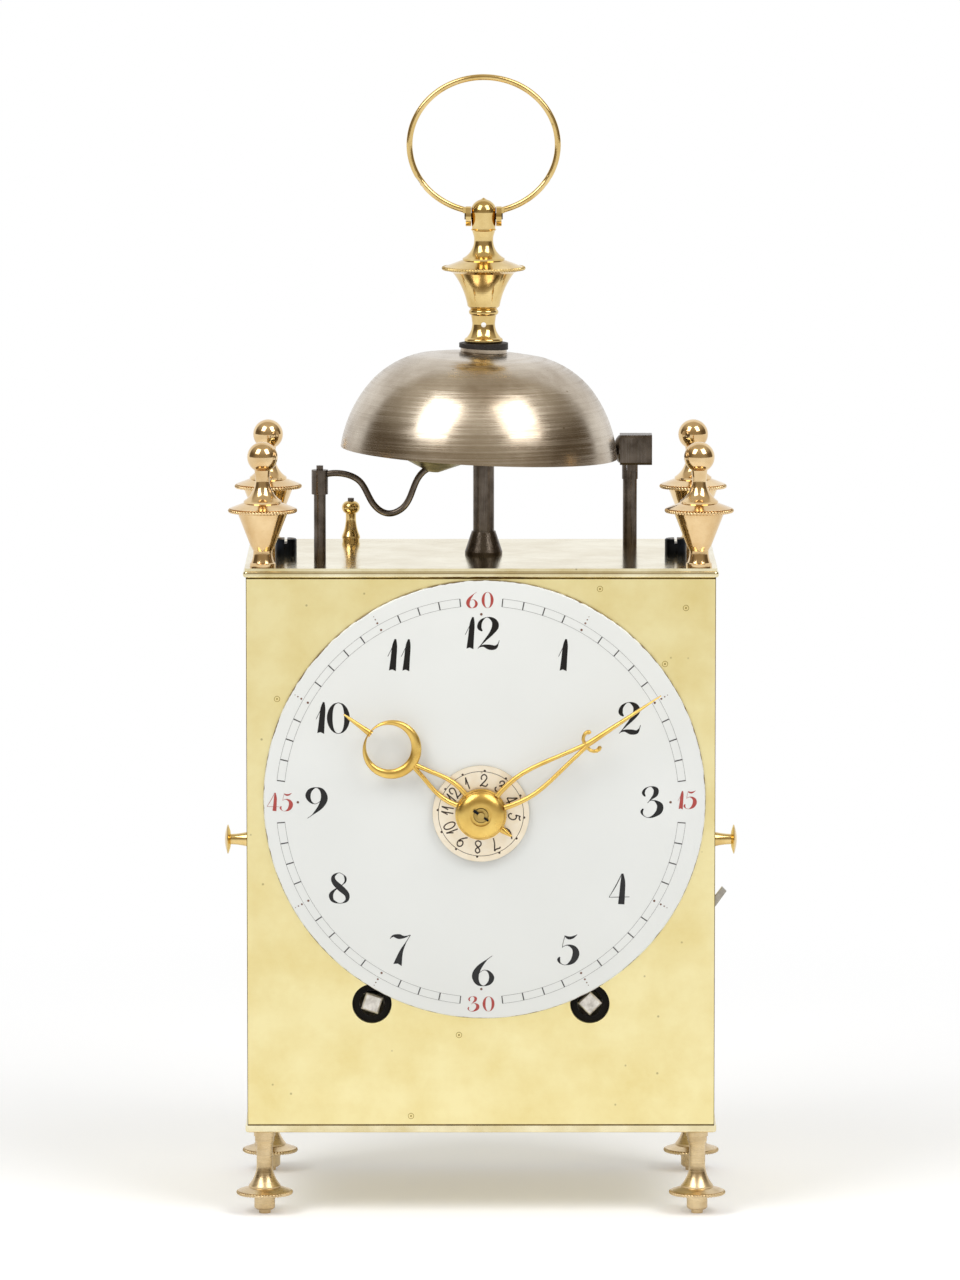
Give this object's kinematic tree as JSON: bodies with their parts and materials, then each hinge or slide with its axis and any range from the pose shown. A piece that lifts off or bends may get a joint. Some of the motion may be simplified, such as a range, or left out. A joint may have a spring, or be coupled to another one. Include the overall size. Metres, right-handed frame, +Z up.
{
  "type": "capucine clock",
  "caption": "Brass travelling clock with a white enamel dial, bell and hammers on top, turned feet and finials, a swinging carrying ring and hinged side doors.",
  "frame": {"origin": "on the surface the clock stands on, under the middle of its whole width and depth, hands and finials included", "axes": "+Z up, dial towards -Y, +X to the right seen from the front"},
  "size_m": [0.1428, 0.094, 0.3161],
  "materials": {
    "polished_brass": "polished and lacquered",
    "case_brass": "fine horizontal grain, satin",
    "turned_brass": "turned, worn",
    "gilt_brass": "fire gilt",
    "silvered_brass": "silvered, matt",
    "bell_metal": "turned and polished bell metal",
    "hammer_bronze": "cast bronze",
    "movement_brass": "stoned brass",
    "dark_steel": "bright steel gone brown",
    "blued_steel": "blued",
    "black_leather": "oiled leather",
    "white_enamel": "fired enamel on copper"
  },
  "bodies": {
    "case": {"base_plate": "case_brass", "top_plate": "case_brass", "corner_posts": "case_brass", "front_plate": "case_brass", "rear_plate": "case_brass", "rear_plate_screws": "blued_steel", "door_hinge_pins": "dark_steel", "feet": "turned_brass", "corner_finials": "polished_brass", "bell": "bell_metal", "bell_post": "dark_steel", "bell_post_nut": "dark_steel", "bell_inner_washer": "black_leather", "bell_disc": "dark_steel", "bell_leather_washer": "black_leather", "handle_finial": "polished_brass", "ring_pin": "polished_brass", "top_screws": "blued_steel", "suspension_rod": "dark_steel", "dial": "white_enamel", "dial_pins": "blued_steel", "hand_pin": "blued_steel", "front_movement_plate": "movement_brass", "rear_movement_plate": "movement_brass", "movement_pillars": "movement_brass", "pillar_nuts": "movement_brass", "going_barrel": "movement_brass", "strike_barrel": "movement_brass", "clicks": "dark_steel", "shoulder_screws": "blued_steel", "second_wheel": "movement_brass", "centre_wheel": "movement_brass", "third_wheel": "movement_brass", "escape_wheel": "movement_brass", "pin_wheel": "movement_brass", "warning_wheel": "movement_brass", "fly": "movement_brass", "alarm_cock": "movement_brass", "hammer_cock": "movement_brass"},
    "carrying_ring": {"carrying_ring": "polished_brass"},
    "left_door": {"left_door": "case_brass", "left_door_knob": "turned_brass"},
    "right_door": {"right_door": "case_brass", "right_door_knob": "turned_brass"},
    "rating_nut": {"rating_nut": "polished_brass"},
    "alarm_disc": {"alarm_disc": "silvered_brass"},
    "hour_hand": {"hour_hand": "gilt_brass", "hour_wheel": "movement_brass"},
    "minute_hand": {"minute_hand": "gilt_brass", "cannon_pinion": "movement_brass"},
    "minute_wheel": {"minute_wheel": "movement_brass"},
    "pendulum": {"pendulum": "dark_steel"},
    "pallets": {"pallets": "dark_steel"},
    "strike_hammer": {"strike_hammer": "dark_steel"},
    "alarm_hammer": {"alarm_hammer": "dark_steel", "alarm_head": "hammer_bronze"},
    "alarm_wheel": {"alarm_wheel": "movement_brass"},
    "repeat_lever": {"repeat_lever": "dark_steel"},
    "going_winding_arbor": {"going_winding_arbor": "dark_steel"},
    "strike_winding_arbor": {"strike_winding_arbor": "dark_steel"}
  },
  "joints": [
    {"name": "ring_swing", "type": "hinge", "parent": "case", "child": "carrying_ring", "pos_m": [0.0008, 0.0048, 0.2764], "axis": [1, 0, 0], "range_deg": [-150, 150]},
    {"name": "left_door_hinge", "type": "hinge", "parent": "case", "child": "left_door", "pos_m": [-0.06425, 0.03905, 0.0855], "axis": [0, 0, -1], "range_deg": [0, 100]},
    {"name": "right_door_hinge", "type": "hinge", "parent": "case", "child": "right_door", "pos_m": [0.06425, 0.03905, 0.0855], "axis": [0, 0, 1], "range_deg": [0, 100]},
    {"name": "minute_hand_turn", "type": "hinge", "parent": "case", "child": "minute_hand", "pos_m": [0, -0.0327, 0.1144], "axis": [0, 1, 0], "continuous": true},
    {"name": "minute_wheel_turn", "type": "hinge", "parent": "case", "child": "minute_wheel", "pos_m": [0.01455, -0.0327, 0.106], "axis": [0, 1, 0], "continuous": true},
    {"name": "hour_hand_turn", "type": "hinge", "parent": "case", "child": "hour_hand", "pos_m": [0, -0.0327, 0.1144], "axis": [0, 1, 0], "continuous": true},
    {"name": "alarm_disc_turn", "type": "hinge", "parent": "hour_hand", "child": "alarm_disc", "pos_m": [0, -0.0327, 0.1144], "axis": [0, 1, 0], "continuous": true},
    {"name": "strike_hammer_swing", "type": "hinge", "parent": "case", "child": "strike_hammer", "pos_m": [0.0423, 0.0303, 0.1816], "axis": [0, 0, 1], "range_deg": [0, 18], "stiffness_Nm_per_rad": 0.02, "springref_deg": -5.73},
    {"name": "alarm_hammer_swing", "type": "hinge", "parent": "case", "child": "alarm_hammer", "pos_m": [-0.0449, -0.0088, 0.1816], "axis": [0, 0, 1], "range_deg": [-12, 17]},
    {"name": "alarm_wheel_turn", "type": "hinge", "parent": "case", "child": "alarm_wheel", "pos_m": [-0.0449, 0.0048, 0.107], "axis": [0, 1, 0], "continuous": true},
    {"name": "pendulum_swing", "type": "hinge", "parent": "case", "child": "pendulum", "pos_m": [-0.0369, 0.0373, 0.162], "axis": [0, 1, 0], "range_deg": [-3, 3]},
    {"name": "pallets_swing", "type": "hinge", "parent": "case", "child": "pallets", "pos_m": [-0.0369, 0.0048, 0.16184], "axis": [0, 1, 0], "range_deg": [-3, 3]},
    {"name": "repeat_lever_pull", "type": "hinge", "parent": "case", "child": "repeat_lever", "pos_m": [0.04, -0.0236, 0.0834], "axis": [0, 1, 0], "range_deg": [0, 8], "stiffness_Nm_per_rad": 0.01, "springref_deg": -8.59},
    {"name": "rating_nut_turn", "type": "hinge", "parent": "case", "child": "rating_nut", "pos_m": [-0.0369, 0.0373, 0.1816], "axis": [0, 0, 1], "continuous": true},
    {"name": "going_winding", "type": "hinge", "parent": "case", "child": "going_winding_arbor", "pos_m": [-0.0303, -0.0327, 0.0598], "axis": [0, 1, 0], "continuous": true},
    {"name": "strike_winding", "type": "hinge", "parent": "case", "child": "strike_winding_arbor", "pos_m": [0.0303, -0.0327, 0.0598], "axis": [0, 1, 0], "continuous": true}
  ],
  "couplings": [
    {"joint": "minute_wheel_turn", "follows": "minute_hand_turn", "ratio": -0.33333},
    {"joint": "hour_hand_turn", "follows": "minute_hand_turn", "ratio": 0.083333},
    {"joint": "pallets_swing", "follows": "pendulum_swing", "ratio": 1}
  ]
}
